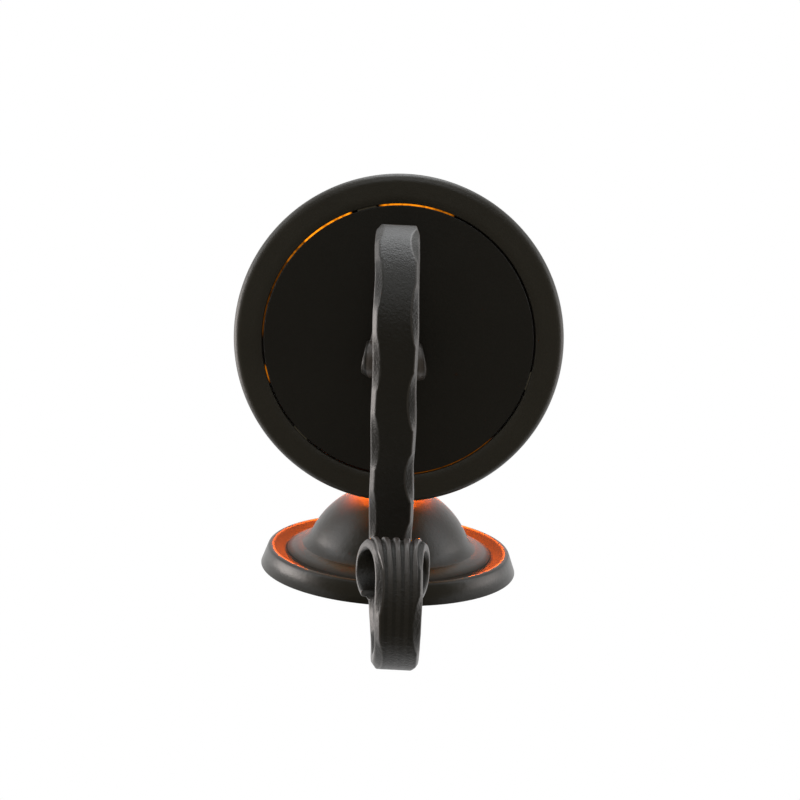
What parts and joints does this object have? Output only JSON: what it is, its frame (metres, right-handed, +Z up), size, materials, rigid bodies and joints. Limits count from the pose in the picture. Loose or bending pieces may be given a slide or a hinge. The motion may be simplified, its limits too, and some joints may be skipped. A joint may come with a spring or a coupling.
{
  "type": "candle wall light",
  "caption": "Wall light with a stepped round canopy, a forged scroll arm with fishtail ends, a drip pan and a lift-off wax candle sleeve over a screw-in bulb.",
  "frame": {"origin": "centre of the canopy's back on the wall plane, which is the middle of the strap's two box-screw slots", "axes": "+Z up, +Y into the wall along the nipple, and +X to the right for someone who faces the wall; the light stands out along -Y"},
  "size_m": [0.1574, 0.2037, 0.2777],
  "materials": {
    "iron": "matt black-brown powder coat over forged and spun steel",
    "zinc": "bright zinc plate",
    "earth_green": "green lacquered screw",
    "brass": "bright drawn brass",
    "wax": "translucent amber wax, lit from inside",
    "porcelain": "cream glaze",
    "cap_metal": "rolled nickel-plated cap",
    "vitrite": "black glass insulator",
    "bulb_glass": "clear amber glass",
    "light_strip": "glowing amber light strip"
  },
  "bodies": {
    "fixture": {"wall_canopy": "iron", "mounting_strap": "zinc", "earth_screw": "earth_green", "strap_nut": "zinc", "nipple": "zinc", "collar_nut": "iron", "neck_tube": "iron", "nipple_nut": "zinc", "wire_bush": "brass", "upright_bracket": "zinc", "scroll_arm": "iron", "centre_stud": "zinc", "stud_nut": "zinc", "lock_screw": "zinc", "base_plate": "iron", "drip_pan": "iron", "pan_tabs": "iron", "sleeve_lugs": "zinc", "lampholder": "porcelain", "holder_ring": "porcelain", "screw_shell": "brass", "centre_contact": "brass", "terminal_screws": "brass"},
    "sleeve": {"candle_sleeve": "wax"},
    "bulb_thread": {"bulb_tip": "cap_metal"},
    "bulb": {"bulb_cap": "cap_metal", "bulb_insulator": "vitrite", "bulb_glass": "bulb_glass", "bulb_stem": "bulb_glass", "light_strips": "light_strip"}
  },
  "joints": [
    {"name": "sleeve_lift", "type": "slide", "parent": "fixture", "child": "sleeve", "axis": [0, 0, 1], "range_m": [0, 0.14]},
    {"name": "bulb_rise", "type": "slide", "parent": "fixture", "child": "bulb_thread", "axis": [0, 0, 1], "range_m": [0, 0.0217]},
    {"name": "bulb_unscrew", "type": "hinge", "parent": "bulb_thread", "child": "bulb", "pos_m": [0, -0.125, 0], "axis": [0, 0, 1], "range_deg": [0, 2160]}
  ],
  "couplings": [
    {"joint": "bulb_rise", "follows": "bulb_unscrew", "m_per_rad": 0.00057296}
  ]
}
